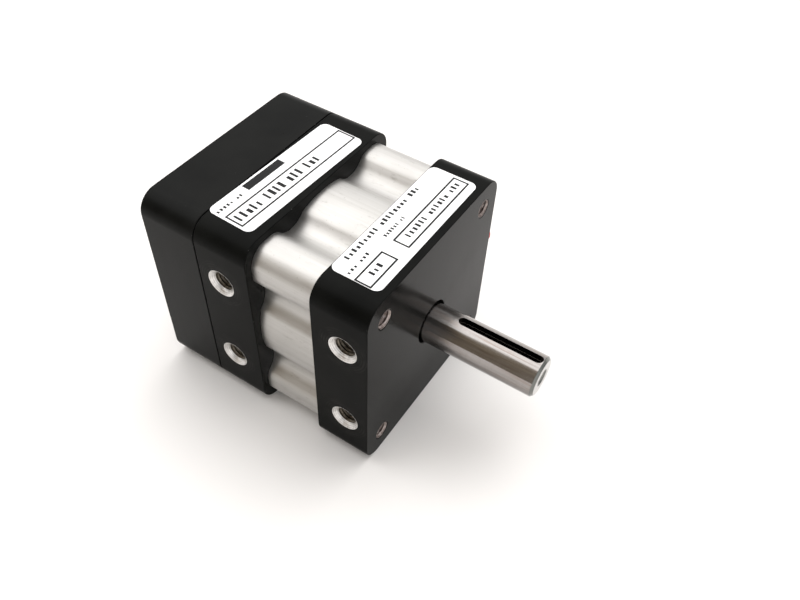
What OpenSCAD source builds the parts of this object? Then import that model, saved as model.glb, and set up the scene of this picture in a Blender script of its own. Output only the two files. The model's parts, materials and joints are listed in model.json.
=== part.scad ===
// Double-vane rotary pneumatic actuator, 90 degree stroke.
// Millimetres. The shaft axis is X, with x = 0 on the front mounting face and +X out along the shaft.
// The air ports face -Y, the labels face +Z, and the actuator rests on its -Z side.

/* [Square end caps] */
// Width and height of the square end caps
square_w = 50.8; // [50.6:0.1:52]
// Radius of the four long outer edges
corner_r = 4.76; // [3:0.1:5]
// Thickness of each end cap
cap_t = 13.6; // [13.4:0.1:14]
// Radius of the circular opening for the shaft in the front face
shaft_opening_r = 5.35; // [5.2:0.05:5.6]

/* [Centre body] */
// Exposed length of the centre body between the caps
body_l = 15.9; // [15.7:0.1:17]
// Outer radius of the round barrel
barrel_r = 23.6; // [23:0.1:23.8]
// Half width of the square that the four corner lobes touch
lobe_reach = 23.67; // [23.4:0.01:23.9]
// Corner radius of a lobe
lobe_r = 4.57; // [4:0.1:5]
// Distance from the shaft axis to the floor of the grooves beside the lobes
groove_floor = 20.7; // [20.6:0.1:21]
// Radius of the vane chamber
chamber_r = 19.05; // [19:0.05:19.1]

/* [Output shaft] */
// Diameter of the output shaft
shaft_d = 9.525; // [9:0.025:9.6]
// Length of shaft that stands out of the front face
shaft_out = 27.4; // [25:0.1:30]
// Width of the keyway
key_w = 2.38; // [2:0.01:2.6]
// Depth of the keyway below the top of the shaft
key_depth = 1.6; // [1.2:0.1:1.8]
// Where the keyway starts, measured from the front face
key_start = 6.4; // [5:0.1:8]
// Solid land left between the keyway and the tip of the shaft
key_end_land = 0.8; // [0.7:0.1:2]
// Angle of the keyway from straight up, towards +Y, at the middle of the stroke
key_angle = 6; // [0:1:12]

/* [Air ports and mounting holes] */
// Height of the two ports above and below the shaft axis
port_z = 12; // [11.8:0.1:12.2]
// Distance of the ports from the outer face of their cap
port_inset = 5.9; // [5.7:0.1:6.1]
// Major radius of the 10-32 port thread
port_r = 2.413; // [2.35:0.001:2.45]
// Radius of the countersink round each port
port_sink_r = 3.4; // [3:0.05:3.6]
// Spacing of the four corner screws and mounting holes
bolt_pitch = 38.8; // [38.6:0.1:39]
// Major radius of the 8-32 mounting thread
bolt_r = 2.083; // [2.07:0.001:2.1]

/* [Rear cover] */
// Depth of the cover behind the rear cap, with its gasket
cover_t = 14.8; // [14.6:0.1:16]
// Radius of the hollow inside the cover
cavity_r = 16.8; // [16.7:0.1:17]
// Thickness of the back wall
back_wall = 3; // [2.8:0.1:3.2]

/* [Labels] */
// Length of each label across the cap
label_l = 38; // [36:0.5:39]
// Width of each label
label_w = 11.6; // [11:0.1:11.6]

/* [Hidden] */
$fn = 96;
eps = 0.01;
cut = 1;            // how far a cutter runs past the face that it opens

half_w = square_w / 2;
bolt_at = bolt_pitch / 2;
mid_x = -cap_t - body_l / 2;          // plane of symmetry of the two caps
rear_x = -2 * cap_t - body_l;         // rear face of the rear cap
gasket_t = 0.25;
back_x = rear_x - cover_t;            // rear face of the cover

// vane chamber, between the spigots of the two caps
spigot_l = 2;
spigot_r = chamber_r - 0.05;
chamber_l = body_l - 2 * spigot_l;
front_inner_x = -cap_t - spigot_l;    // inner face of the front cap
groove_r = 5;                         // radius of the grooves beside the lobes
groove_u = 10.6;                      // offset of the middle of a groove from the body's centre plane
lobe_side_r = 4;                      // rounding between a lobe and a groove
barrel_side_r = 3;                    // rounding between the barrel and a groove
tie_r = 1.753;                        // 6-32 screws hold the caps together
tie_clear_r = 1.85;
mount_thread_l = 5.4;                 // depth of the mounting threads in the front face
tie_thread_x = -6.4;                  // front end of the tie screws' threads in the front cap
tie_screw_l = 31.75;
tie_seat_x = rear_x + 4.6;            // where the heads of the tie screws bear on the rear cap
tie_head_r = 2.87;
tie_head_h = 3.5;

// ball bearings and shaft seals
bearing_bore_r = 5;
bearing_r = 11;
bearing_w = 6;
bearing_in = 0.1;                     // how far a bearing lies below the cap's inner face
pitch_r = 8;
ball_r = 1.6;
race_r = 1.64;
balls = 9;
seal_r = 8;
seal_w = 4;
front_wall = 2.2;                     // cap wall in front of the shaft seal

// rotor
hub_r = 12;
hub_gap = 0.02;                       // end clearance of the rotor on each side
vane_t = 5;
vane_root_r = 9;
vane_tip_r = 18.5;
vane_l = chamber_l - 1;
vane_seal_t = 2;
vane_tab = 9;                         // length of the solid middle of a vane, between its seal's legs
vane_tab_r = 17.4;
vane_screw_x = 2.6;
vane_screw_r = 1.09;
vane_screw_seat = 15.2;
cross_hole_x = 1.3;
cross_hole_r = 1;
cross_hole_angle = 18;
stub_r = 4;                           // rear end of the shaft, which carries the magnet hub
stub_end = -50.6;
stub_flat = 0.6;                      // depth of the flat that the hub's set screw bears on
collar_r = 6.2;
neck_r = 4.5;                         // shaft inside the opening of the front cap
tip_chamfer = 0.6;
tap_r = 1.753;                        // 6-32 thread in the end of the shaft
tap_l = 12;

// stator shoes
shoe_clear = 0.06;
shoe_in_r = hub_r + shoe_clear;
shoe_out_r = chamber_r - 0.05;
shoe_apex = (vane_t / 2 + shoe_clear) * sqrt(2);
shoe_seal_w = 1.94;
shoe_seal_h = 1.5;
dowel_at = [4.2, 15.6];
dowel_r = 1.5;
dowel_in = 3;                         // how far a dowel goes into each cap
passage_at = [9.4, 12.9];             // air passage from a port to the edge of a shoe
passage_r = 1.2;
relief_at = [6.5, 10.1];              // hole that joins the passage to the chamber's corner
relief_r = 2;

// ports and small edges
port_l = 9;
edge_break = 0.2;
head_gap = 0.25;
vent_offset = 1.3;                    // from the plugged port to the drilling behind the shaft seal
vent_r = 1;

// sensor housing
cover_screw_at = 20.3;
cover_head_r = 2.87;
cover_screw_r = 1.753;
cover_clear_r = 1.9;
cover_sink = 3.8;
magnet_hub_x = [-50.2, -45.8];
magnet_hub_r = 8.5;
magnet_x = -48;
magnet_seat = 6.3;                    // distance of the magnet's pocket from the shaft axis
board_t = 1.6;
board_r = 16;
board_screw_at = 13;
board_screw_r = 1;
sensor_angle = 45;
grommet_z = -10;
grommet_r = 3.58;
grommet_flange_r = 4.9;
grommet_flange_t = 1.2;
grommet_bore_r = 2;
label_t = 0.1;
label_corner = 1.6;

// ---------- helpers ----------

// Puts children that are drawn in the (Y, Z) plane and raised along +Z onto the X axis, starting at x.
module along_x(x) {
    translate([x, 0, 0]) rotate([90, 0, 90]) children();
}

// A round bar or a cutter along X between two places.
module bar_x(r, x0, x1, y = 0, z = 0) {
    translate([0, y, z]) along_x(x0) cylinder(r = r, h = x1 - x0);
}

// A ring along X between two places.
module ring_x(r_out, r_in, x0, x1) {
    along_x(x0) difference() {
        cylinder(r = r_out, h = x1 - x0);
        translate([0, 0, -cut]) cylinder(r = r_in, h = x1 - x0 + 2 * cut);
    }
}

// Copies the children of the front half to the rear half.
module to_rear() {
    translate([2 * mid_x, 0, 0]) mirror([1, 0, 0]) children();
}

module rounded_rect(w, h, r) {
    square([w, h - 2 * r], center = true);
    square([w - 2 * r, h], center = true);
    for (u = [-1, 1], v = [-1, 1])
        translate([u * (w / 2 - r), v * (h / 2 - r)]) circle(r = r);
}

module block(x0, x1) {
    along_x(x0) linear_extrude(x1 - x0) rounded_rect(square_w, square_w, corner_r);
}

// One child at each of the four corner screws.
module at_corners() {
    for (y = [-bolt_at, bolt_at], z = [-bolt_at, bolt_at])
        translate([0, y, z]) children();
}

// One child at each of the four cover screws, in the middle of the sides.
module at_sides() {
    for (a = [0 : 90 : 270])
        rotate([a, 0, 0]) translate([0, cover_screw_at, 0]) children();
}

module at_board_screws() {
    for (y = [-board_screw_at, board_screw_at]) translate([0, y, 0]) children();
}

// Socket head screw along -X to +X: the head lies behind x, the shank in front of it.
module socket_screw(x, length, shank_r, head_r, head_h, hex_r) {
    difference() {
        union() {
            bar_x(head_r, x - head_h, x);
            bar_x(shank_r, x - eps, x + length);
        }
        translate([x - head_h - cut, 0, 0]) rotate([90, 0, 90])
            cylinder(r = hex_r, h = head_h * 0.55 + cut, $fn = 6);
    }
}

// ---------- end caps ----------

// Thread and countersink of a port on the -Y side.
module port_thread(z) {
    translate([-port_inset, -half_w, z]) rotate([-90, 0, 0]) {
        translate([0, 0, -cut]) cylinder(r = port_r, h = port_l + cut);
        translate([0, 0, -eps]) cylinder(r1 = port_sink_r, r2 = port_r, h = port_sink_r - port_r);
    }
}

// One air port on the -Y side, with its passage to the chamber.
module port_cut(z) {
    port_thread(z);
    translate([-port_inset, -half_w, z]) rotate([-90, 0, 0])
        cylinder(r = passage_r, h = half_w - passage_at[0]);
    bar_x(passage_r, front_inner_x - cut, -port_inset, -passage_at[0], sign(z) * passage_at[1]);
}

// The cap that front and rear share, drawn at the front.
module cap_blank() {
    difference() {
        union() {
            block(-cap_t, 0);
            bar_x(spigot_r, front_inner_x, -cap_t + cut);
        }
        bar_x(shaft_opening_r, -cap_t, cut);
        bar_x(seal_r, -cap_t, -front_wall);
        bar_x(bearing_r + eps, front_inner_x - cut, front_inner_x + bearing_in + bearing_w);
        ring_x(spigot_r + cut, spigot_r - 0.95, -cap_t - 1.5, -cap_t - 0.4);
        for (z = [-port_z, port_z]) port_cut(z);
        for (y = [-dowel_at[0], dowel_at[0]], z = [-dowel_at[1], dowel_at[1]])
            bar_x(dowel_r + eps, front_inner_x - cut, front_inner_x + dowel_in + 0.2, y, z);
    }
}

module front_cap() {
    color("#26272a") difference() {
        cap_blank();
        at_corners() {
            bar_x(bolt_r, -mount_thread_l, cut);
            along_x(eps - edge_break) cylinder(r1 = bolt_r, r2 = bolt_r + edge_break, h = edge_break);
            bar_x(tie_r + eps, -cap_t - cut, tie_thread_x);
        }
        rotate([180, 0, 0]) port_thread(0);
        translate([-port_inset - vent_offset, half_w, 0]) rotate([90, 0, 0])
            cylinder(r = vent_r, h = half_w - seal_r + cut);
    }
}

module rear_cap() {
    color("#26272a") difference() {
        to_rear() cap_blank();
        at_corners() {
            bar_x(tie_clear_r, rear_x - cut, -cap_t);
            bar_x(tie_head_r + head_gap, rear_x - cut, tie_seat_x);
        }
        at_sides() bar_x(cover_screw_r + eps, rear_x - cut, rear_x + 7);
        at_board_screws() bar_x(board_screw_r + eps, rear_x - cut, rear_x + 5);
    }
}

module front_body_oring() {
    color("#151515") along_x(-cap_t - 0.95) rotate_extrude()
        translate([spigot_r - 0.44, 0]) circle(r = 0.48);
}

module rear_body_oring() {
    to_rear() front_body_oring();
}

// ---------- centre body ----------

// Points on an arc round c, from angle a0 to a1, both measured from +Z towards +Y.
function arc(c, r, a0, a1, n) =
    [for (i = [0 : n]) let (a = a0 + (a1 - a0) * i / n) [c[0] + r * sin(a), c[1] + r * cos(a)]];

function heading(from, to) = atan2(to[0] - from[0], to[1] - from[1]);

// One eighth of the body's outline, from the top of the barrel to the middle of a lobe, in tangent arcs.
groove_c = [groove_u, groove_floor + groove_r];
groove_d = norm(groove_c);
barrel_side_d = barrel_r - barrel_side_r;
barrel_side_turn = acos((pow(barrel_side_d, 2) + pow(groove_d, 2) - pow(groove_r + barrel_side_r, 2))
                        / (2 * barrel_side_d * groove_d));
barrel_side_a = heading([0, 0], groove_c) - barrel_side_turn;
barrel_side_c = barrel_side_d * [sin(barrel_side_a), cos(barrel_side_a)];
lobe_side_v = lobe_reach - lobe_side_r;
lobe_side_u = groove_u + sqrt(pow(groove_r + lobe_side_r, 2) - pow(groove_c[1] - lobe_side_v, 2));
lobe_side_c = [lobe_side_u, lobe_side_v];
lobe_c = (lobe_reach - lobe_r) * [1, 1];

octant = concat(
    arc([0, 0], barrel_r, 0, barrel_side_a, 4),
    arc(barrel_side_c, barrel_side_r, barrel_side_a, heading(barrel_side_c, groove_c), 6),
    arc(groove_c, groove_r, heading(groove_c, barrel_side_c) + 360,
        heading(groove_c, lobe_side_c), 12),
    arc(lobe_side_c, lobe_side_r, heading(lobe_side_c, groove_c), 0, 6),
    arc(lobe_c, lobe_r, 0, 45, 7)
);

function clean(p) =
    [for (i = [0 : len(p) - 1]) if (i == 0 || norm(p[i] - p[i - 1]) > 0.001) p[i]];

function quarter(p) = concat(p, [for (i = [len(p) - 2 : -1 : 1]) [p[i][1], p[i][0]]]);

function turned(p, a) =
    [for (q = p) [q[0] * cos(a) + q[1] * sin(a), -q[0] * sin(a) + q[1] * cos(a)]];

outline = [for (a = [0 : 90 : 270]) each turned(quarter(clean(octant)), a)];

module center_body() {
    color("#c9cacb") difference() {
        along_x(-cap_t - body_l) linear_extrude(body_l) polygon(outline);
        bar_x(chamber_r, -cap_t - body_l - cut, -cap_t + cut);
        at_corners() bar_x(tie_clear_r, -cap_t - body_l - cut, -cap_t + cut);
    }
}

module tie_screws() {
    color("#3a3a3c") at_corners()
        socket_screw(tie_seat_x, tie_screw_l, tie_r, tie_head_r, tie_head_h, 1.6);
}

// ---------- stator ----------

module upper_stator_shoe() {
    color("#9b9da0") along_x(mid_x - chamber_l / 2 + hub_gap) linear_extrude(chamber_l - 2 * hub_gap)
        difference() {
            intersection() {
                difference() {
                    circle(r = shoe_out_r);
                    circle(r = shoe_in_r);
                }
                translate([0, shoe_apex]) rotate(45) square(2 * chamber_r);
            }
            translate([-shoe_seal_w / 2 - eps, 0]) square([shoe_seal_w + 2 * eps, shoe_in_r + shoe_seal_h]);
            for (u = [-1, 1]) {
                translate([u * dowel_at[0], dowel_at[1]]) circle(r = dowel_r + eps);
                translate([u * passage_at[0], passage_at[1]]) circle(r = passage_r + 0.4);
                translate([u * relief_at[0], relief_at[1]]) circle(r = relief_r);
            }
        }
}

module lower_stator_shoe() {
    rotate([180, 0, 0]) upper_stator_shoe();
}

module stator_shoe_seals() {
    seal_l = chamber_l - 2 * hub_gap;
    color("#151515") for (a = [0, 180])
        rotate([a, 0, 0]) translate([mid_x - seal_l / 2, -shoe_seal_w / 2, hub_r + 0.03])
            cube([seal_l, shoe_seal_w, shoe_seal_h]);
}

module stator_dowels() {
    color("#b8babd") for (y = [-dowel_at[0], dowel_at[0]], z = [-dowel_at[1], dowel_at[1]])
        bar_x(dowel_r, mid_x - chamber_l / 2 - dowel_in, mid_x + chamber_l / 2 + dowel_in, y, z);
}

// ---------- bearings and shaft seals, drawn at the front ----------

bearing_x = front_inner_x + bearing_in;
bearing_mid = bearing_x + bearing_w / 2;

module race(r) {
    along_x(bearing_mid) rotate_extrude() translate([pitch_r, 0]) circle(r = r);
}

module bearing_outer_ring() {
    color("#b9bbbe") difference() {
        ring_x(bearing_r, 8.9, bearing_x, bearing_x + bearing_w);
        race(race_r);
    }
}

module bearing_inner_ring() {
    color("#b9bbbe") difference() {
        ring_x(7.1, bearing_bore_r + eps, bearing_x, bearing_x + bearing_w);
        race(race_r);
    }
}

module each_ball() {
    for (i = [0 : balls - 1])
        rotate([i * 360 / balls, 0, 0]) translate([bearing_mid, 0, pitch_r]) children();
}

module bearing_cage() {
    color("#a98a4a") difference() {
        ring_x(8.5, 7.5, bearing_mid - 2.2, bearing_mid + 2.2);
        each_ball() sphere(r = ball_r + 0.08);
    }
}

module bearing_balls() {
    color("#d0d2d4") each_ball() sphere(r = ball_r);
}

// Lip seal: an outer band, a thin web and a lip that follows the journal.
module shaft_seal() {
    x0 = -front_wall - seal_w;
    color("#151515") difference() {
        bar_x(seal_r - eps, x0, -front_wall);
        bar_x(bearing_bore_r + 0.03, x0 - cut, -front_wall + cut);
        ring_x(seal_r - 1.2, bearing_bore_r + 0.9, x0 - cut, -front_wall - 1.1);
    }
}

module front_bearing_outer_ring() { bearing_outer_ring(); }
module front_bearing_inner_ring() { bearing_inner_ring(); }
module front_bearing_cage() { bearing_cage(); }
module front_bearing_balls() { bearing_balls(); }
module front_shaft_seal() { shaft_seal(); }
module rear_bearing_outer_ring() { to_rear() bearing_outer_ring(); }
module rear_bearing_inner_ring() { to_rear() bearing_inner_ring(); }
module rear_bearing_cage() { to_rear() bearing_cage(); }
module rear_bearing_balls() { to_rear() bearing_balls(); }
module rear_shaft_seal() { to_rear() shaft_seal(); }

// ---------- rotor ----------

module keyway() {
    floor_r = shaft_d / 2 - key_depth;
    x0 = key_start + key_w / 2;
    x1 = shaft_out - key_end_land - key_w / 2;
    rotate([-key_angle, 0, 0]) translate([0, 0, floor_r]) {
        translate([x0, -key_w / 2, 0]) cube([x1 - x0, key_w, shaft_d]);
        for (x = [x0, x1]) translate([x, 0, 0]) cylinder(r = key_w / 2, h = shaft_d);
    }
}

module output_shaft() {
    hub_l = chamber_l - 2 * hub_gap;
    tap_sink = 0.35;
    color("#bfc0c2") difference() {
        union() {
            bar_x(shaft_d / 2, 0, shaft_out - tip_chamfer);
            bar_x(neck_r, -front_wall, eps);
            along_x(shaft_out - tip_chamfer)
                cylinder(r1 = shaft_d / 2, r2 = shaft_d / 2 - tip_chamfer, h = tip_chamfer);
            bar_x(bearing_bore_r, rear_x - 0.2, eps - front_wall);
            bar_x(hub_r, mid_x - hub_l / 2, mid_x + hub_l / 2);
            bar_x(collar_r, 2 * mid_x - bearing_x + eps, bearing_x - eps);
            bar_x(stub_r, stub_end, rear_x);
        }
        keyway();
        bar_x(tap_r, shaft_out - tap_l, shaft_out + cut);
        along_x(shaft_out + eps - tap_sink) cylinder(r1 = tap_r, r2 = tap_r + tap_sink, h = tap_sink);
        for (a = [0, 180]) rotate([a, 0, 0]) {
            translate([mid_x - hub_l, vane_root_r, -vane_t / 2 - eps])
                cube([2 * hub_l, hub_r, vane_t + 2 * eps]);
            for (x = [-vane_screw_x, vane_screw_x])
                translate([mid_x + x, vane_root_r - 1.6, 0]) rotate([-90, 0, 0])
                    cylinder(r = vane_screw_r + eps, h = 3);
        }
        for (s = [-1, 1])
            translate([mid_x + s * cross_hole_x, 0, 0]) rotate([-90 + s * cross_hole_angle, 0, 0])
                cylinder(r = cross_hole_r, h = 3 * hub_r, center = true);
        translate([stub_end - cut, -stub_r, stub_r - stub_flat])
            cube([magnet_hub_x[1] - stub_end + cut, 2 * stub_r, 1]);
    }
}

// The vane that points to -Y is the near one; this draws it pointing to +Y.
module vane() {
    groove_t = vane_seal_t + 2 * eps;
    color("#8f9194") difference() {
        intersection() {
            translate([mid_x - vane_l / 2, vane_root_r + eps, -vane_t / 2])
                cube([vane_l, vane_tip_r, vane_t]);
            bar_x(vane_tip_r, mid_x - vane_l, mid_x + vane_l);
        }
        difference() {
            translate([mid_x - vane_l, hub_r + 0.2, -groove_t / 2])
                cube([2 * vane_l, vane_tip_r, groove_t]);
            translate([mid_x - vane_tab / 2, 0, -vane_t]) cube([vane_tab, vane_tab_r, 2 * vane_t]);
        }
        for (x = [-vane_screw_x, vane_screw_x]) translate([mid_x + x, 0, 0]) rotate([-90, 0, 0]) {
            cylinder(r = 1.2, h = vane_tip_r + cut);
            translate([0, 0, vane_screw_seat]) cylinder(r = 1.85, h = vane_tip_r);
        }
    }
}

module vane_seal() {
    seal_l = chamber_l - 0.06;
    tab = vane_tab + 0.04;
    color("#151515") intersection() {
        difference() {
            translate([mid_x - seal_l / 2, hub_r + 0.22, -vane_seal_t / 2])
                cube([seal_l, chamber_r, vane_seal_t]);
            translate([mid_x - tab / 2, 0, -vane_t]) cube([tab, vane_tab_r + 0.02, 2 * vane_t]);
        }
        bar_x(chamber_r - 0.03, mid_x - chamber_l, mid_x + chamber_l);
    }
}

module near_vane() { rotate([180, 0, 0]) vane(); }
module far_vane() { vane(); }
module near_vane_seal() { rotate([180, 0, 0]) vane_seal(); }
module far_vane_seal() { vane_seal(); }

module vane_screws() {
    color("#3a3a3c") for (a = [0, 180], x = [-vane_screw_x, vane_screw_x])
        rotate([a, 0, 0]) translate([mid_x + x, 0, 0]) rotate([-90, 0, 0]) difference() {
            union() {
                translate([0, 0, vane_root_r - 1.4]) cylinder(r = vane_screw_r, h = 8);
                translate([0, 0, vane_screw_seat]) cylinder(r = 1.78, h = 2.1);
            }
            translate([0, 0, vane_screw_seat + 0.9]) cylinder(r = 0.95, h = 3, $fn = 6);
        }
}

// ---------- rear cover and sensors ----------

module rear_cover() {
    front = rear_x - gasket_t;
    color("#26272a") difference() {
        block(back_x, front);
        bar_x(cavity_r, back_x + back_wall, front + cut);
        at_sides() {
            bar_x(cover_clear_r, back_x - cut, front + cut);
            bar_x(cover_head_r + head_gap, back_x - cut, back_x + cover_sink);
        }
        bar_x(grommet_r + 0.02, back_x - cut, back_x + back_wall + cut, 0, grommet_z);
        bar_x(grommet_flange_r + 0.1, back_x - cut, back_x + grommet_flange_t, 0, grommet_z);
    }
}

module cover_gasket() {
    inset = 0.4;
    color("#2f2f2f") difference() {
        along_x(rear_x - gasket_t) linear_extrude(gasket_t)
            rounded_rect(square_w - 2 * inset, square_w - 2 * inset, corner_r - inset);
        bar_x(cavity_r, rear_x - cut, rear_x + cut);
        at_sides() bar_x(cover_clear_r + 0.05, rear_x - cut, rear_x + cut);
    }
}

module cover_screws() {
    color("#3a3a3c") at_sides()
        socket_screw(back_x + cover_sink, 16, cover_screw_r, cover_head_r, 3.5, 1.6);
}

module cable_grommet() {
    color("#151515") difference() {
        union() {
            bar_x(grommet_flange_r, back_x, back_x + grommet_flange_t - eps, 0, grommet_z);
            bar_x(grommet_r, back_x, back_x + back_wall + grommet_flange_t, 0, grommet_z);
        }
        bar_x(grommet_bore_r, back_x - cut, back_x + back_wall + 2, 0, grommet_z);
    }
}

module magnet_hub() {
    color("#b8babd") difference() {
        bar_x(magnet_hub_r, magnet_hub_x[0], magnet_hub_x[1]);
        bar_x(stub_r + eps, magnet_hub_x[0] - cut, magnet_hub_x[1] + cut);
        translate([magnet_x, 0, 0]) cylinder(r = 1.02, h = 2 * magnet_hub_r);
        rotate([180, 0, 0]) translate([magnet_x, 0, magnet_seat]) cylinder(r = 1.52, h = magnet_hub_r);
    }
}

module hub_set_screw() {
    color("#3a3a3c") translate([magnet_x, 0, stub_r - stub_flat + 0.02]) difference() {
        cylinder(r = 1, h = 4.2);
        translate([0, 0, 2.8]) cylinder(r = 0.5, h = 2, $fn = 6);
    }
}

module sensor_magnet() {
    color("#77787a") rotate([180, 0, 0]) translate([magnet_x, 0, magnet_seat + eps])
        cylinder(r = 1.5, h = 2.1);
}

module sensor_board() {
    color("#1d6b45") difference() {
        ring_x(board_r, 10.5, rear_x - board_t, rear_x);
        at_board_screws() bar_x(board_screw_r + 0.05, rear_x - board_t - cut, rear_x + cut);
    }
}

module position_sensors() {
    size = [5.2, 4.2, 3.6];
    color("#202022") for (a = [-sensor_angle, sensor_angle])
        rotate([180 + a, 0, 0]) translate([rear_x - board_t - size[0], -size[1] / 2, 9.8])
            cube(size);
}

module terminal_block() {
    color("#3f7f3a") difference() {
        translate([rear_x - board_t - 6, -4.4, 10.8]) cube([6, 8.8, 4.2]);
        for (y = [-3, -1, 1, 3]) bar_x(0.75, rear_x - board_t - 7, rear_x - board_t - 4.4, y, 12.9);
    }
}

module board_screws() {
    head_h = 1.3;
    color("#b8babd") at_board_screws() difference() {
        union() {
            bar_x(1.9, rear_x - board_t - head_h, rear_x - board_t);
            bar_x(board_screw_r, rear_x - board_t - eps, rear_x + 4.6);
        }
        translate([rear_x - board_t - head_h - cut, -0.25, -3]) cube([cut + 0.6, 0.5, 6]);
    }
}

// ---------- plug and labels ----------

module vent_port_plug() {
    flange_t = 1;
    plug_out = 6.9;
    color("#c4161c") translate([-port_inset, half_w, 0]) rotate([-90, 0, 0]) difference() {
        union() {
            translate([0, 0, -5]) cylinder(r = port_r - 0.03, h = 5 + eps);
            cylinder(r = 4.3, h = flange_t);
            translate([0, 0, flange_t - eps]) cylinder(r1 = 3.6, r2 = 3.3, h = plug_out - flange_t);
        }
        translate([0, 0, 2 * flange_t]) cylinder(r = 2.3, h = plug_out);
    }
}

// A thin label with rounded corners on the top side.
module label(x, y, turn) {
    color("#f2f2ef") translate([x, y, half_w]) rotate([0, 0, turn])
        linear_extrude(label_t) rounded_rect(label_w, label_l, label_corner);
}

module front_label() {
    label(-7.55, -0.1, 0);
}

module rear_label() {
    label(-36.9, -1.3, -2);
}

front_cap();
rear_cap();
center_body();
rear_cover();
cover_gasket();
cover_screws();
tie_screws();
upper_stator_shoe();
lower_stator_shoe();
stator_shoe_seals();
stator_dowels();
front_body_oring();
rear_body_oring();
front_shaft_seal();
rear_shaft_seal();
front_bearing_outer_ring();
rear_bearing_outer_ring();
front_bearing_inner_ring();
rear_bearing_inner_ring();
front_bearing_cage();
rear_bearing_cage();
front_bearing_balls();
rear_bearing_balls();
output_shaft();
near_vane();
far_vane();
near_vane_seal();
far_vane_seal();
vane_screws();
magnet_hub();
hub_set_screw();
sensor_magnet();
sensor_board();
position_sensors();
terminal_block();
board_screws();
cable_grommet();
vent_port_plug();
front_label();
rear_label();
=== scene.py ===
import json
import math
import random

import bpy
from mathutils import Matrix, Vector


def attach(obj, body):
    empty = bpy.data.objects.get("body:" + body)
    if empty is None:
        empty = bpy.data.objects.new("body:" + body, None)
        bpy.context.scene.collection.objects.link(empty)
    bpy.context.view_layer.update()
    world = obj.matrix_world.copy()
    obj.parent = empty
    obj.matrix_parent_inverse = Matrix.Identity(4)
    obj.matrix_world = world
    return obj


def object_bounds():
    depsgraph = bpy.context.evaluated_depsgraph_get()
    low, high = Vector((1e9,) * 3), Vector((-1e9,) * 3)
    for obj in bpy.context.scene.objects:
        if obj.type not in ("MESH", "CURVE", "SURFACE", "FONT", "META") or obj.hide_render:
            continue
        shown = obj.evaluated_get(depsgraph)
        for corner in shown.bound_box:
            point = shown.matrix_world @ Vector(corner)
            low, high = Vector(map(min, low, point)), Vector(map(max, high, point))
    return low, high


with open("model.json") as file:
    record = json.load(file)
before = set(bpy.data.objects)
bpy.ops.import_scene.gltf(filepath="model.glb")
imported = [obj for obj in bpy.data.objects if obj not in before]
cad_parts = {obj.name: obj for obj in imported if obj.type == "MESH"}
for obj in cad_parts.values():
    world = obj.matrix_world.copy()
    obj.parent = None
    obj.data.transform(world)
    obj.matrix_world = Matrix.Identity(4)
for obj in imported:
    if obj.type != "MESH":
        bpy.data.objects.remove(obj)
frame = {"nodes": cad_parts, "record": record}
cad_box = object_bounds()

MM = 0.001
SLOT_OF = {part["node"]: part["material_slot"] for part in frame["record"]["subparts"]}

# Places and sizes on the CAD part, in millimetres. The shaft is on the x axis and x = 0 is the front face.
TOP = 25.4            # z of the caps' top side
NEAR = -25.4          # y of the side that has the ports
PORT_Z = 12.0         # height of the ports above and below the shaft
FRONT_PORT_X = -5.9
REAR_PORT_X = -37.2
SINK_R = 3.4          # countersink of a port
PORT_R = 2.413        # 10-32 thread in a port, major and minor radius
PORT_MINOR_R = 2.02
BOLT_AT = 19.4        # y and z of the mounting holes
BOLT_R = 2.083        # 8-32 thread in a mounting hole
BOLT_MINOR_R = 1.70
SHAFT_TIP = 27.4      # x of the shaft's end
TAP_R = 1.753         # 6-32 thread in the shaft's end
TAP_MINOR_R = 1.42
PITCH = 0.794         # all three threads have 32 turns to the inch
KEY_START = 6.3       # x where the keyway starts and ends, a little wider than the CAD keyway
KEY_END = 26.8
KEY_EDGE_R = 4.70     # everything in the keyway is nearer to the axis than this


# ---------- camera, floor and light ----------

def make_camera():
    data = bpy.data.cameras.new("camera")
    data.sensor_width = 36
    data.lens = 34.97
    data.clip_start = 0.005
    camera = bpy.data.objects.new("camera", data)
    bpy.context.scene.collection.objects.link(camera)
    place = Vector((51.5, -100.51, 132.34)) * MM
    target = Vector((-9.74, 2.04, -0.85)) * MM
    look = (target - place).to_track_quat("-Z", "Y").to_matrix()
    camera.location = place
    camera.rotation_euler = (look @ Matrix.Rotation(math.radians(2.9), 3, "Z")).to_euler()
    bpy.context.scene.camera = camera


def make_floor():
    """White paper under the part, in metres."""
    size = 1.5
    z = cad_box[0].z
    mesh = bpy.data.meshes.new("floor")
    corners = [(-size, -size, z), (size, -size, z), (size, size, z), (-size, size, z)]
    mesh.from_pydata(corners, [], [(0, 1, 2, 3)])
    floor = bpy.data.objects.new("floor", mesh)
    bpy.context.scene.collection.objects.link(floor)
    shader = Shader("floor_paper")
    shader.set("Base Color", (0.79, 0.775, 0.76))
    shader.set("Roughness", 0.9)
    shader.set("Specular IOR Level", 0.1)
    floor.data.materials.append(shader.material)


def make_key_light():
    """A soft far light above the far side. It lights the floor and isn't seen in reflections."""
    data = bpy.data.lights.new("key_light", "SUN")
    data.energy = 0.75
    data.angle = math.radians(38)
    data.color = (1.0, 0.99, 0.98)
    towards_light = Vector((0.08, 0.38, 0.92))
    sun = bpy.data.objects.new("key_light", data)
    sun.rotation_euler = (-towards_light).to_track_quat("-Z", "Y").to_euler()
    sun.visible_glossy = False
    bpy.context.scene.collection.objects.link(sun)


def grey(level):
    return (level, level * 0.99, level * 0.985)


BROWN = (0.34, 0.272, 0.19)
PALE_BROWN = (0.48, 0.395, 0.285)


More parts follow.
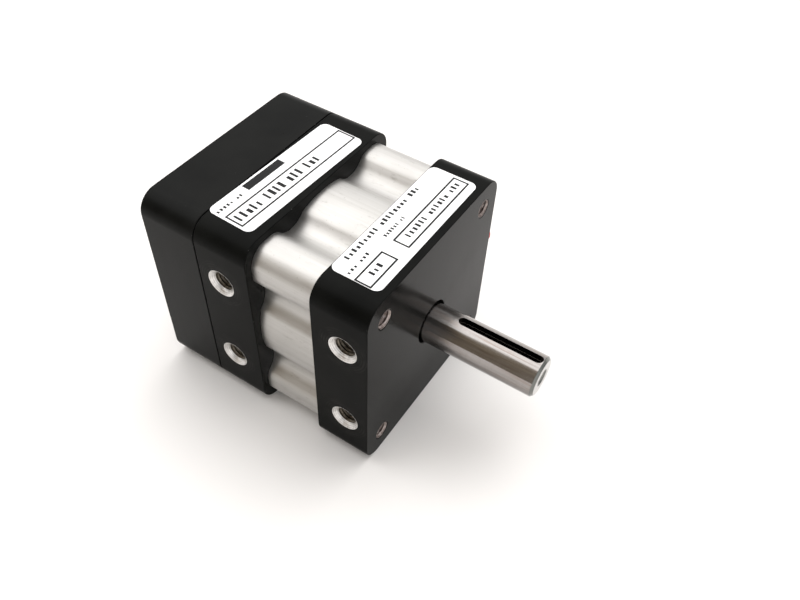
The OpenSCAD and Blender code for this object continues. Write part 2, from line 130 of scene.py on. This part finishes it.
def make_world():
    """A white room with a bright ceiling and pale walls, and a dim warm corner on the side of the ports."""
    world = bpy.data.worlds.new("studio")
    world.use_nodes = True
    bpy.context.scene.world = world
    tree = world.node_tree
    direction = tree.nodes.new("ShaderNodeTexCoord").outputs["Generated"]
    split = tree.nodes.new("ShaderNodeSeparateXYZ")
    tree.links.new(direction, split.inputs[0])
    x, y, z = split.outputs

    def calculate(operation, *values):
        node = tree.nodes.new("ShaderNodeMath")
        node.operation = operation
        for index, value in enumerate(values):
            if isinstance(value, bpy.types.NodeSocket):
                tree.links.new(value, node.inputs[index])
            else:
                node.inputs[index].default_value = value
        return node.outputs[0]

    turns = calculate("MULTIPLY", calculate("ARCTAN2", y, x), 0.5 / math.pi)
    azimuth = calculate("FRACT", calculate("ADD", turns, 1.0))

    def around(stops):
        """Colours by direction round the object: 0 is out along the shaft, 90 away from the ports."""
        node = tree.nodes.new("ShaderNodeValToRGB")
        stops = stops + [(360, stops[0][1])]
        while len(node.color_ramp.elements) < len(stops):
            node.color_ramp.elements.new(0.5)
        for element, (degrees, colour) in zip(node.color_ramp.elements, stops):
            element.position = degrees / 360
            element.color = (*colour, 1)
        tree.links.new(azimuth, node.inputs[0])
        return node.outputs[0]

    def rise(low, high):
        """From 0 to 1 between two heights above the horizon, in degrees."""
        node = tree.nodes.new("ShaderNodeMapRange")
        node.interpolation_type = "SMOOTHSTEP"
        tree.links.new(z, node.inputs[0])
        node.inputs[1].default_value = math.sin(math.radians(low))
        node.inputs[2].default_value = math.sin(math.radians(high))
        return node.outputs[0]

    def mix(factor, a, b):
        node = tree.nodes.new("ShaderNodeMix")
        node.data_type = "RGBA"
        tree.links.new(factor, node.inputs[0])
        for index, colour in ((6, a), (7, b)):
            if isinstance(colour, bpy.types.NodeSocket):
                tree.links.new(colour, node.inputs[index])
            else:
                node.inputs[index].default_value = (*colour, 1)
        return node.outputs[2]

    walls = around([(0, grey(1.5)), (25, grey(0.9)), (50, grey(0.75)), (95, grey(1.2)),
                    (115, grey(1.5)), (135, grey(1.1)), (155, grey(1.4)), (182, grey(1.5)),
                    (212, grey(1.1)), (228, BROWN), (260, BROWN), (274, grey(0.9)),
                    (295, grey(1.3)), (335, grey(1.3))])
    upper = around([(0, grey(0.3)), (25, grey(1.4)), (50, grey(2.5)), (110, grey(3.3)),
                    (190, grey(3.2)), (222, grey(3.2)), (236, PALE_BROWN), (258, PALE_BROWN),
                    (275, grey(0.5)), (335, grey(0.3))])
    ceiling = grey(2.9)
    sky = mix(rise(33, 46), walls, upper)
    sky = mix(rise(66, 76), sky, ceiling)
    tree.links.new(sky, tree.nodes["Background"].inputs[0])
    tree.nodes["Background"].inputs[1].default_value = 0.86


# ---------- shader helper ----------

class Shader:
    """A material with one Principled shader, and short calls for the nodes that feed it."""

    def __init__(self, name):
        self.material = bpy.data.materials.new(name)
        self.material.use_nodes = True
        self.tree = self.material.node_tree
        self.main = self.tree.nodes["Principled BSDF"]
        self.object_space = self.tree.nodes.new("ShaderNodeTexCoord").outputs["Object"]
        split = self.tree.nodes.new("ShaderNodeSeparateXYZ")
        self.tree.links.new(self.object_space, split.inputs[0])
        self.x, self.y, self.z = split.outputs

    def set(self, socket, value):
        """Gives a Principled input a number, a colour or another node's output."""
        target = self.main.inputs[socket]
        if isinstance(value, bpy.types.NodeSocket):
            self.tree.links.new(value, target)
        elif isinstance(value, tuple):
            target.default_value = (*value, 1)
        else:
            target.default_value = value

    def plug(self, node, index, value):
        """The same for one input of any node, without colours."""
        if isinstance(value, bpy.types.NodeSocket):
            self.tree.links.new(value, node.inputs[index])
        else:
            node.inputs[index].default_value = value

    def noise(self, per_mm, detail=3.0, rough=0.55, stretch=(1, 1, 1)):
        """Noise with this many features per millimetre; a stretch below 1 draws it out along that axis."""
        mapping = self.tree.nodes.new("ShaderNodeMapping")
        mapping.inputs["Scale"].default_value = stretch
        self.tree.links.new(self.object_space, mapping.inputs["Vector"])
        node = self.tree.nodes.new("ShaderNodeTexNoise")
        node.inputs["Scale"].default_value = per_mm / MM
        node.inputs["Detail"].default_value = detail
        node.inputs["Roughness"].default_value = rough
        self.tree.links.new(mapping.outputs[0], node.inputs["Vector"])
        return node.outputs["Fac"]

    def cells(self, per_mm):
        """Distance to the nearest of many scattered points, for dust and pits."""
        node = self.tree.nodes.new("ShaderNodeTexVoronoi")
        node.inputs["Scale"].default_value = per_mm / MM
        self.tree.links.new(self.object_space, node.inputs["Vector"])
        return node.outputs["Distance"]

    def math(self, operation, a, b=0.0):
        node = self.tree.nodes.new("ShaderNodeMath")
        node.operation = operation
        self.plug(node, 0, a)
        self.plug(node, 1, b)
        return node.outputs[0]

    def add(self, *values):
        total = values[0]
        for value in values[1:]:
            total = self.math("ADD", total, value)
        return total

    def times(self, *values):
        total = values[0]
        for value in values[1:]:
            total = self.math("MULTIPLY", total, value)
        return total

    def spread(self, value, low, high, to_low=0.0, to_high=1.0):
        """Maps value from low..high to to_low..to_high, clamped."""
        node = self.tree.nodes.new("ShaderNodeMapRange")
        self.plug(node, 0, value)
        for index, number in enumerate((low, high, to_low, to_high), start=1):
            node.inputs[index].default_value = number
        return node.outputs[0]

    def mix(self, factor, a, b):
        node = self.tree.nodes.new("ShaderNodeMix")
        node.data_type = "RGBA"
        self.plug(node, 0, factor)
        for index, colour in ((6, a), (7, b)):
            self.plug(node, index, colour if isinstance(colour, bpy.types.NodeSocket) else (*colour, 1))
        return node.outputs[2]

    def wave(self, value, per_mm):
        """A sine of value, a length in metres, from 0 to 1."""
        turned = self.math("SINE", self.times(value, 2 * math.pi * per_mm / MM))
        return self.spread(turned, -1, 1)

    def radius(self, a, b, at_a, at_b):
        """Distance in metres, across the axes a and b, from the point (at_a, at_b) in millimetres."""
        da = self.math("SUBTRACT", a, at_a * MM)
        db = self.math("SUBTRACT", b, at_b * MM)
        return self.math("SQRT", self.add(self.times(da, da), self.times(db, db)))

    def normal(self, axis):
        """One part of the surface's direction in the object's own axes, without its sign."""
        geometry = self.tree.nodes.new("ShaderNodeNewGeometry")
        own = self.tree.nodes.new("ShaderNodeVectorTransform")
        own.vector_type = "NORMAL"
        own.convert_from = "WORLD"
        own.convert_to = "OBJECT"
        split = self.tree.nodes.new("ShaderNodeSeparateXYZ")
        self.tree.links.new(geometry.outputs["True Normal"], own.inputs[0])
        self.tree.links.new(own.outputs[0], split.inputs[0])
        return self.math("ABSOLUTE", split.outputs[axis])

    def tangent_round_x(self):
        """Lays the brushed direction round the x axis."""
        around = self.tree.nodes.new("ShaderNodeTangent")
        around.direction_type = "RADIAL"
        around.axis = "X"
        self.tree.links.new(around.outputs[0], self.main.inputs["Tangent"])

    def bump(self, height, depth_mm, strength):
        node = self.tree.nodes.new("ShaderNodeBump")
        node.inputs["Strength"].default_value = strength
        node.inputs["Distance"].default_value = depth_mm * MM
        self.tree.links.new(height, node.inputs["Height"])
        self.tree.links.new(node.outputs[0], self.main.inputs["Normal"])


# ---------- materials ----------

def port_rub(s, port_x):
    """Broken rings round two ports, where fittings have turned against the cap."""
    upper = s.radius(s.x, s.z, port_x, PORT_Z)
    lower = s.radius(s.x, s.z, port_x, -PORT_Z)
    r = s.math("MINIMUM", upper, lower)
    band = s.times(s.spread(r, 3.4 * MM, 3.9 * MM), s.spread(r, 6.4 * MM, 5.4 * MM),
                   s.spread(s.y, -24.5 * MM, -25.2 * MM))
    broken = s.spread(s.noise(0.5, 2), 0.35, 0.65)
    return s.times(band, s.wave(r, 1.6), broken)


def black_anodised(name, gloss, port_x=None):
    """Semi-gloss black with a fine blasted grain, dust and worn edges. The turned faces across the x axis are
    smoother and shinier. The caps also have rubbed rings round their ports, and the front cap has painted
    shade:
    it reflects less towards its bottom."""
    s = Shader(name)
    cloud = s.noise(0.10, 4)
    streak = s.noise(0.35, 3, 0.5, (1, 1, 0.12))
    grain = s.noise(7.0, 2)
    dust = s.times(s.spread(s.cells(0.8), 0.030, 0.045, 1, 0), s.spread(s.noise(0.25, 2), 0.56, 0.62))
    edge = s.times(s.spread(s.normal("X"), 0.25, 0.45), s.spread(s.normal("X"), 0.97, 0.9))
    nicks = s.times(edge, s.spread(s.noise(1.3, 3), 0.66, 0.72))
    base = s.mix(s.spread(cloud, 0.35, 0.65), (0.0030, 0.0032, 0.0029), (0.0056, 0.0058, 0.0052))
    rough = s.spread(s.add(cloud, s.times(streak, 0.5), s.times(grain, 0.25)), 0.55, 1.15, 0.27, 0.38)
    rough = s.add(rough, s.spread(s.normal("X"), 0.8, 0.95, 0.0, -0.14))
    shine = s.spread(s.normal("X"), 0.8, 0.95, gloss, gloss * 1.7)
    if port_x is not None:
        rub = port_rub(s, port_x)
        base = s.mix(s.times(rub, 0.3), base, (0.045, 0.043, 0.040))
        rough = s.add(rough, s.times(rub, 0.06))
    if port_x == FRONT_PORT_X:
        # Painted shade: the front cap shines less towards its bottom, which darkens its reflection there.
        painted_foot_shade = s.spread(s.z, -17 * MM, -5 * MM, 0.62, 1.0)
        shine = s.times(shine, painted_foot_shade)
    base = s.mix(s.times(dust, 0.45), base, (0.20, 0.19, 0.18))
    s.set("Base Color", s.mix(s.times(nicks, 0.6), base, (0.20, 0.20, 0.19)))
    s.set("Roughness", rough)
    s.set("Specular IOR Level", shine)
    s.bump(s.add(grain, s.times(streak, 0.3)), 0.0035, 0.6)
    return s.material


def clear_anodised():
    """Satin extrusion: streaks and fine lines along the body, small pits, and a few darker scuffs."""
    s = Shader("clear_anodised")
    streak = s.noise(0.8, 4, 0.6, (0.03, 1, 1))
    lines = s.noise(5.0, 2, 0.5, (0.04, 1, 1))
    cloud = s.noise(0.12, 3)
    scuff = s.times(s.spread(s.noise(0.9, 4, 0.6, (0.35, 1, 1)), 0.58, 0.70), s.spread(cloud, 0.42, 0.6))
    pits = s.times(s.spread(s.cells(1.1), 0.10, 0.16, 1, 0), s.spread(s.noise(0.5, 2), 0.48, 0.58))
    base = s.mix(s.spread(streak, 0.3, 0.7), (0.45, 0.44, 0.42), (0.54, 0.53, 0.515))
    base = s.mix(s.times(scuff, 0.5), base, (0.26, 0.245, 0.225))
    s.set("Base Color", s.mix(s.times(pits, 0.35), base, (0.20, 0.19, 0.17)))
    s.set("Metallic", 0.92)
    s.set("Roughness", s.spread(s.add(s.times(streak, 0.6), cloud), 0.5, 1.1, 0.37, 0.45))
    s.set("Anisotropic", 0.7)
    s.tangent_round_x()
    s.bump(s.add(lines, s.times(scuff, 0.4)), 0.010, 0.9)
    return s.material


def ground_steel():
    """Ground shaft: reflections drawn out along it, faint rings round it, lengthwise streaks and stains,
    and painted shade in the key slot, darkest on its walls."""
    s = Shader("ground_steel")
    rings = s.noise(7.0, 3, 0.6, (1, 0.04, 0.04))
    streak = s.noise(2.6, 3, 0.6, (0.035, 1, 1))
    stain = s.noise(1.1, 3, 0.6, (0.06, 1, 1))
    cloud = s.noise(0.25, 3)
    base = s.mix(s.spread(rings, 0.3, 0.7), (0.295, 0.277, 0.267), (0.332, 0.314, 0.304))
    base = s.mix(s.times(s.spread(streak, 0.5, 0.7), 0.5), base, (0.17, 0.143, 0.125))
    base = s.mix(s.times(s.spread(stain, 0.5, 0.72), 0.65), base, (0.25, 0.195, 0.165))
    along = s.normal("X")
    near_tip = s.spread(s.x, (SHAFT_TIP - 0.75) * MM, (SHAFT_TIP - 0.6) * MM)
    chamfer = s.times(near_tip, s.spread(along, 0.95, 0.9))
    base = s.mix(chamfer, base, (0.17, 0.175, 0.165))
    end_face = s.spread(along, 0.9, 0.95)
    base = s.mix(end_face, base, (0.50, 0.49, 0.48))
    from_axis = s.radius(s.y, s.z, 0, 0)
    # Painted shade: the key slot is darkened as a recess, its walls more than its floor.
    keyway_shade = s.times(s.spread(from_axis, KEY_EDGE_R * MM, (KEY_EDGE_R - 0.08) * MM),
                     s.spread(s.x, KEY_START * MM, (KEY_START + 0.1) * MM),
                     s.spread(s.x, KEY_END * MM, (KEY_END - 0.1) * MM))
    wall = s.spread(s.normal("Y"), 0.5, 0.8)
    base = s.mix(keyway_shade, base, s.mix(wall, (0.07, 0.062, 0.055), (0.012, 0.011, 0.010)))
    s.set("Base Color", base)
    s.set("Metallic", 1.0)
    s.set("Roughness", s.spread(s.add(cloud, s.times(rings, 0.4)), 0.5, 0.9, 0.13, 0.17))
    s.set("Anisotropic", 0.95)
    s.set("Anisotropic Rotation", 0.25)
    s.tangent_round_x()
    s.bump(rings, 0.001, 0.5)
    return s.material


def turned_metal(name, axis, dark, light):
    """Bare cut metal in a countersink or thread, with tool lines and darker tool marks across the axis."""
    s = Shader(name)
    depth = {"x": s.x, "y": s.y}[axis]
    stretch = (1, 0.1, 0.1) if axis == "x" else (0.1, 1, 0.1)
    lines = s.add(s.times(s.wave(depth, 9.0), 0.5), s.noise(9.0, 2, 0.5, stretch))
    patch = s.noise(1.2, 3)
    base = s.mix(s.spread(patch, 0.35, 0.65), dark, light)
    tool_mark = s.times(s.spread(s.wave(depth, 3.2), 0.72, 0.95), s.spread(s.noise(0.8, 2), 0.3, 0.6))
    mark_colour = tuple(0.4 * level for level in dark)
    s.set("Base Color", s.mix(s.times(tool_mark, 0.6), base, mark_colour))
    s.set("Metallic", 0.9)
    s.set("Roughness", s.spread(patch, 0.3, 0.7, 0.30, 0.44))
    s.bump(lines, 0.022, 0.9)
    return s.material


def plain_metal(name, dark, light, rough):
    """Metal with a fine grain and a slow change between two shades."""
    s = Shader(name)
    grain = s.noise(3.0, 3)
    cloud = s.noise(0.25, 3)
    s.set("Base Color", s.mix(s.spread(cloud, 0.35, 0.65), dark, light))
    s.set("Metallic", 1.0)
    s.set("Roughness", s.spread(grain, 0.3, 0.7, rough - 0.05, rough + 0.07))
    s.bump(grain, 0.004, 0.7)
    return s.material


def dull_material(name, dark, light, rough, per_mm=4.0):
    """Rubber, plastic, fibre or lacquer with a moulded grain."""
    s = Shader(name)
    grain = s.noise(per_mm, 3)
    cloud = s.noise(per_mm / 15, 3)
    s.set("Base Color", s.mix(s.spread(cloud, 0.35, 0.65), dark, light))
    s.set("Roughness", s.spread(grain, 0.3, 0.7, rough - 0.06, rough + 0.06))
    s.set("Specular IOR Level", 0.4)
    s.bump(grain, 0.01, 0.6)
    return s.material


def label_white():
    """Printed film: smooth white, with a faint fibre."""
    s = Shader("label_white")
    cloud = s.noise(0.3, 3)
    fibre = s.noise(9.0, 2)
    s.set("Base Color", s.mix(s.spread(cloud, 0.35, 0.65), (0.84, 0.84, 0.84), (0.90, 0.90, 0.90)))
    s.set("Roughness", s.spread(fibre, 0.3, 0.7, 0.32, 0.42))
    s.bump(fibre, 0.002, 0.4)
    return s.material


def label_ink():
    """Black print, slightly uneven."""
    s = Shader("label_ink")
    patch = s.noise(8.0, 3)
    s.set("Base Color", s.mix(s.spread(patch, 0.35, 0.7), (0.004, 0.004, 0.004), (0.012, 0.012, 0.013)))
    s.set("Roughness", s.spread(patch, 0.3, 0.7, 0.4, 0.55))
    s.set("Specular IOR Level", 0.15)
    return s.material


MATERIALS = {
    "black_anodised": black_anodised("black_anodised", 0.060),
    "clear_anodised": clear_anodised(),
    "ground_steel": ground_steel(),
    "bearing_steel": plain_metal("bearing_steel", (0.55, 0.56, 0.58), (0.66, 0.67, 0.69), 0.16),
    "machined_aluminium": plain_metal(
        "machined_aluminium", (0.74, 0.73, 0.72), (0.84, 0.83, 0.82), 0.30),
    "screw_steel": plain_metal("screw_steel", (0.035, 0.035, 0.038), (0.06, 0.058, 0.058), 0.34),
    "zinc_steel": plain_metal("zinc_steel", (0.60, 0.61, 0.63), (0.70, 0.71, 0.72), 0.28),
    "seal_rubber": dull_material("seal_rubber", (0.012, 0.012, 0.012), (0.022, 0.022, 0.022), 0.62),
    "gasket_fibre": dull_material("gasket_fibre", (0.010, 0.010, 0.010), (0.02, 0.02, 0.019), 0.8, 8.0),
    "cage_brass": plain_metal("cage_brass", (0.52, 0.36, 0.14), (0.64, 0.47, 0.20), 0.3),
    "board_green": dull_material("board_green", (0.02, 0.13, 0.07), (0.03, 0.17, 0.09), 0.35),
    "dark_plastic": dull_material("dark_plastic", (0.018, 0.018, 0.02), (0.03, 0.03, 0.032), 0.45),
    "magnet_grey": plain_metal("magnet_grey", (0.40, 0.40, 0.41), (0.50, 0.50, 0.51), 0.2),
    "plug_red": dull_material("plug_red", (0.50, 0.012, 0.015), (0.60, 0.02, 0.02), 0.38),
    "label_white": label_white(),
}
NODE_MATERIALS = {
    "front_cap": black_anodised("black_anodised_front", 0.035, FRONT_PORT_X),
    "rear_cap": black_anodised("black_anodised_rear", 0.035, REAR_PORT_X),
}
INK = label_ink()
SINK_METAL = turned_metal("sink_metal", "y", (0.60, 0.585, 0.565), (0.78, 0.765, 0.75))
# Painted shade: the port and mounting-hole threads are bare aluminium like the countersinks, given dark
# colours for the shade inside the holes.
PORT_THREAD_IN_SHADE = turned_metal("port_thread", "y", (0.055, 0.046, 0.035), (0.17, 0.148, 0.118))
HOLE_THREAD_IN_SHADE = turned_metal("hole_thread_in_shade", "x", (0.20, 0.155, 0.14), (0.44, 0.39, 0.37))
SHAFT_THREAD = plain_metal("shaft_thread", (0.20, 0.19, 0.18), (0.32, 0.31, 0.30), 0.35)


# ---------- CAD nodes ----------

# Width of the rounded edges of each node that shows
EDGES_MM = {
    "front_cap": 0.20, "rear_cap": 0.20, "rear_cover": 0.20, "center_body": 0.12, "output_shaft": 0.07,
    "cover_screws": 0.10, "cable_grommet": 0.2, "vent_port_plug": 0.12,
}


def finish_cad_node(node):
    """Gives a CAD node its material and, where it shows, rounded edges."""
    shown = frame["nodes"][node]
    mesh = shown.data
    mesh.materials.clear()
    mesh.materials.append(NODE_MATERIALS.get(node, MATERIALS[SLOT_OF[node]]))
    if node not in EDGES_MM:
        return
    for name in ("custom_normal", "sharp_edge", "sharp_face"):
        if name in mesh.attributes:
            mesh.attributes.remove(mesh.attributes[name])
    weld = shown.modifiers.new("weld", "WELD")
    weld.merge_threshold = 0.002 * MM
    flatten = shown.modifiers.new("flatten", "DECIMATE")
    flatten.decimate_type = "DISSOLVE"
    flatten.angle_limit = math.radians(0.5)
    bevel = shown.modifiers.new("edges", "BEVEL")
    bevel.width = EDGES_MM[node] * MM
    bevel.segments = 2
    bevel.limit_method = "ANGLE"
    bevel.angle_limit = math.radians(30)
    bevel.use_clamp_overlap = False
    bevel.harden_normals = True
    shown.modifiers.new("normals", "WEIGHTED_NORMAL").weight = 100


# ---------- pieces that the CAD part doesn't have ----------

def add_piece(name, points_mm, faces, material, body="housing", smooth=True):
    """Makes one closed mesh that rides on a body."""
    mesh = bpy.data.meshes.new(name)
    mesh.from_pydata([Vector(p) * MM for p in points_mm], [], faces)
    mesh.materials.append(material)
    for polygon in mesh.polygons:
        polygon.use_smooth = smooth
    piece = bpy.data.objects.new(name, mesh)
    bpy.context.scene.collection.objects.link(piece)
    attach(piece, body)


def hole_frame(centre, axis):
    """Turns (across, across, depth) into a point; depth grows out of the hole along axis."""
    turn = Vector(axis).to_track_quat("Z", "Y")
    return lambda a, b, depth: Vector(centre) + turn @ Vector((a, b, depth))


def circle_points(place, r, columns, depth):
    return [place(r * math.cos(2 * math.pi * j / columns), r * math.sin(2 * math.pi * j / columns), depth)
            for j in range(columns)]


def grid_faces(rows, columns):
    """Quads of a tube whose last row joins its first."""
    faces = []
    for i in range(rows):
        for j in range(columns):
            k = (j + 1) % columns
            n = (i + 1) % rows
            faces.append((i * columns + j, i * columns + k, n * columns + k, n * columns + j))
    return faces


def add_thread(name, centre, axis, major_r, minor_r, length, material, body="housing"):
    """A threaded lining: a helical groove inside, a plain wall outside, and a lead-in at the mouth."""
    place = hole_frame(centre, axis)
    columns = 40
    rows_per_turn = 8
    rows = int(length / PITCH * rows_per_turn)
    groove_r = major_r - 0.03
    wall_r = major_r - 0.01
    flat = 0.12           # share of half a turn that the crest and the root are flat
    lead_in = 0.8         # how fast the crest rises from the mouth
    points = []
    for i in range(rows + 1):
        depth = i * PITCH / rows_per_turn
        for j in range(columns):
            angle = 2 * math.pi * j / columns
            phase = (depth / PITCH + j / columns) % 1.0
            groove = min(max((abs(2 * phase - 1) - flat) / (1 - 2 * flat), 0), 1)
            r = minor_r + (groove_r - minor_r) * groove
            r = max(r, groove_r - depth * lead_in)
            points.append(place(r * math.cos(angle), r * math.sin(angle), -depth))
    for depth in (length, 0):
        points += circle_points(place, wall_r, columns, -depth)
    add_piece(name, points, grid_faces(rows + 3, columns), material, body)


def add_sink_ring(name, centre, axis, outer_r, inner_r, material):
    """The bare metal cone of a countersink, with a narrow flat rim round it and a short collar inside."""
    place = hole_frame(centre, axis)
    columns = 64
    skin = 0.03
    depth = outer_r - inner_r
    profile = [(outer_r + 0.03, 0.004), (outer_r - 0.02, 0.006), (inner_r - skin, skin - depth),
               (inner_r - skin, -depth - 0.15), (inner_r + 0.02, -depth - 0.15), (outer_r + 0.03, -0.02)]
    points = [point for r, height in profile for point in circle_points(place, r, columns, height)]
    add_piece(name, points, grid_faces(len(profile), columns), material)


def add_ports():
    for row, x in (("front", FRONT_PORT_X), ("rear", REAR_PORT_X)):
        for level, z in (("upper", PORT_Z), ("lower", -PORT_Z)):
            centre = (x, NEAR, z)
            add_sink_ring(f"{row}_{level}_port_sink", centre, (0, -1, 0), SINK_R, PORT_R,
                          SINK_METAL)
            below_sink = (x, NEAR + SINK_R - PORT_R, z)
            add_thread(f"{row}_{level}_port_thread", below_sink, (0, -1, 0), PORT_R, PORT_MINOR_R, 7.0,
                       PORT_THREAD_IN_SHADE)


def add_mounting_threads():
    for side, y in (("near", -BOLT_AT), ("far", BOLT_AT)):
        for level, z in (("upper", BOLT_AT), ("lower", -BOLT_AT)):
            add_thread(f"{side}_{level}_mounting_thread", (-0.05, y, z), (1, 0, 0), BOLT_R, BOLT_MINOR_R,
                       5.2, HOLE_THREAD_IN_SHADE)


def add_shaft_thread():
    add_thread("shaft_end_thread", (SHAFT_TIP - 0.3, 0, 0), (1, 0, 0), TAP_R, TAP_MINOR_R, 9.5,
               SHAFT_THREAD, "shaft")


class Print:
    """Ink on one label: frames and rows of dashes, with no lettering. Places are in millimetres from the
    label's middle. Along runs from the port side to the far side, and across from the rear to the front."""

    INK_BASE = TOP + 0.095
    INK_TOP = TOP + 0.112
    LINE = 0.42           # width of a frame's line
    WORD_GAP = 0.8        # gap between two words, in dashes

    def __init__(self, name, centre, turn, seed):
        self.name = name
        self.centre = Vector((centre[0], centre[1]))
        self.turn = math.radians(turn)
        self.points = []
        self.faces = []
        self.random = random.Random(seed)

    def bar(self, along0, along1, across0, across1):
        start = len(self.points)
        cosine, sine = math.cos(self.turn), math.sin(self.turn)
        for z in (self.INK_BASE, self.INK_TOP):
            for v, u in ((along0, across0), (along1, across0), (along1, across1), (along0, across1)):
                self.points.append((self.centre.x + u * cosine - v * sine,
                                    self.centre.y + u * sine + v * cosine, z))
        for face in ((0, 1, 2, 3), (7, 6, 5, 4), (1, 0, 4, 5), (2, 1, 5, 6), (3, 2, 6, 7), (0, 3, 7, 4)):
            self.faces.append(tuple(start + corner for corner in face))

    def outline(self, along0, along1, across0, across1):
        line = self.LINE
        self.bar(along0, along1, across0, across0 + line)
        self.bar(along0, along1, across1 - line, across1)
        self.bar(along0, along0 + line, across0 + line, across1 - line)
        self.bar(along1 - line, along1, across0 + line, across1 - line)

    def words(self, along0, along1, across0, across1, words):
        """Stand-in for writing: one short dash for each mark, with a gap between the words."""
        marks = sum(words) + self.WORD_GAP * (len(words) - 1)
        pitch = (along1 - along0) / marks
        at = along0
        for count in words:
            for _ in range(count):
                width = pitch * self.random.uniform(0.36, 0.60)
                cut = (across1 - across0) * self.random.choice((0.0, 0.0, 0.18, 0.3))
                self.bar(at, at + width, across0 + cut, across1)
                at += pitch
            at += pitch * self.WORD_GAP

    def finish(self):
        add_piece(self.name, self.points, self.faces, INK, smooth=False)


def add_label_print():
    """Both labels. The rear one sits 2 degrees askew."""
    front = Print("front_label_print", (-7.55, -0.1), 0, 3)
    front.outline(-18.9, -9.4, -0.05, 3.95)
    front.outline(-5.7, 18.3, 0.05, 4.0)
    front.words(-15.1, 11.3, -5.15, -3.9, (9, 8, 3))
    front.words(-18.2, -10.9, -2.3, -1.45, (3, 3))
    front.words(-5.6, 1.8, -2.3, -1.45, (6, 2))
    front.words(-15.8, -11.9, 1.1, 2.5, (3,))
    front.words(-3.0, 17.4, 1.1, 2.5, (6, 6, 3))
    front.finish()
    rear = Print("rear_label_print", (-36.9, -1.3), -2, 5)
    rear.outline(-18.4, 18.8, -1.45, 3.45)
    rear.words(-18.4, -10.7, -3.9, -3.1, (5, 2))
    rear.bar(-9.2, 2.3, -5.3, -3.2)
    rear.words(-17.3, 8.6, -0.2, 2.1, (5, 4, 3, 3))
    rear.finish()


# ---------- main ----------

make_camera()
make_floor()
make_world()
make_key_light()

for node_name in frame["nodes"]:
    finish_cad_node(node_name)
add_ports()
add_mounting_threads()
add_shaft_thread()
add_label_print()

bpy.context.scene.view_settings.view_transform = "Standard"
